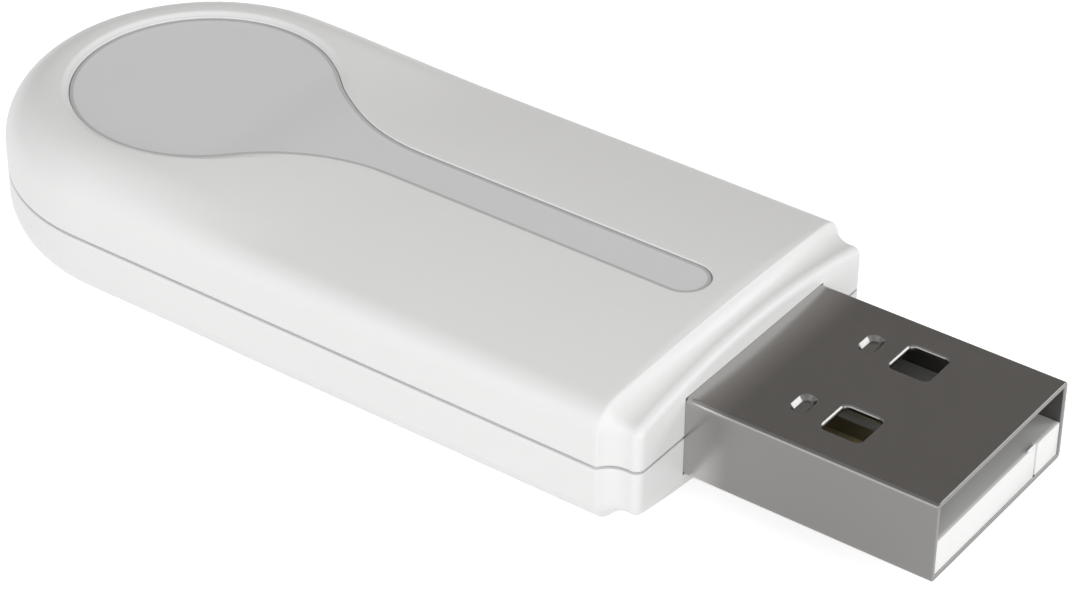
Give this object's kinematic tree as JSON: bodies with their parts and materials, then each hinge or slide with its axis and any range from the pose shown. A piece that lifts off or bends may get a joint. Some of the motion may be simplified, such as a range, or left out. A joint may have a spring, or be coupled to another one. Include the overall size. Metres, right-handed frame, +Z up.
{
  "type": "usb wireless dongle",
  "caption": "Slim wireless receiver: white rounded housing with a stepped collar, a grey keyhole-shaped light guide on top, and a metal USB type A plug.",
  "frame": {"origin": "centre of the bounding box at its lowest face, where the dongle rests on its flat bottom", "axes": "+X along the length towards the plug's tip, +Y across, +Z up from the bottom to the face with the light guide"},
  "size_m": [0.0586, 0.021, 0.0084],
  "materials": {
    "white_plastic": "fine satin moulding",
    "guide_plastic": "smooth grey, faintly translucent",
    "plug_metal": "dark nickel plating, drawn sheet",
    "tongue_plastic": "satin moulding",
    "contact_metal": "gold flash",
    "board_laminate": "green solder resist",
    "chip_plastic": "moulded epoxy",
    "can_metal": "tinned sheet",
    "ceramic": "fired ceramic with tinned ends",
    "antenna_ceramic": "fired white ceramic",
    "resistor_film": "glazed film with tinned ends",
    "coil_ferrite": "sintered ferrite",
    "lamp_case": "clear cast resin"
  },
  "bodies": {
    "root": {"antenna_capacitor": "ceramic", "antenna_inductor": "antenna_ceramic", "bypass_capacitor_1": "ceramic", "bypass_capacitor_2": "ceramic", "bypass_capacitor_3": "ceramic", "bypass_capacitor_4": "ceramic", "chip_antenna": "antenna_ceramic", "circuit_board": "board_laminate", "crystal": "can_metal", "crystal_capacitor_1": "ceramic", "crystal_capacitor_2": "ceramic", "data_minus_contact": "contact_metal", "data_plus_contact": "contact_metal", "data_resistor_1": "resistor_film", "data_resistor_2": "resistor_film", "ferrite_bead": "coil_ferrite", "flash_chip": "chip_plastic", "ground_contact": "contact_metal", "input_capacitor": "ceramic", "light_guide": "guide_plastic", "link_lamp": "lamp_case", "link_resistor": "resistor_film", "lower_housing": "white_plastic", "output_capacitor": "ceramic", "plug_shell": "plug_metal", "plug_tongue": "tongue_plastic", "power_coil": "coil_ferrite", "power_contact": "contact_metal", "radio_chip": "chip_plastic", "shield_can": "can_metal", "status_lamp": "lamp_case", "status_resistor": "resistor_film", "surge_guard": "chip_plastic", "upper_housing": "white_plastic", "voltage_regulator": "chip_plastic"}
  },
  "joints": []
}
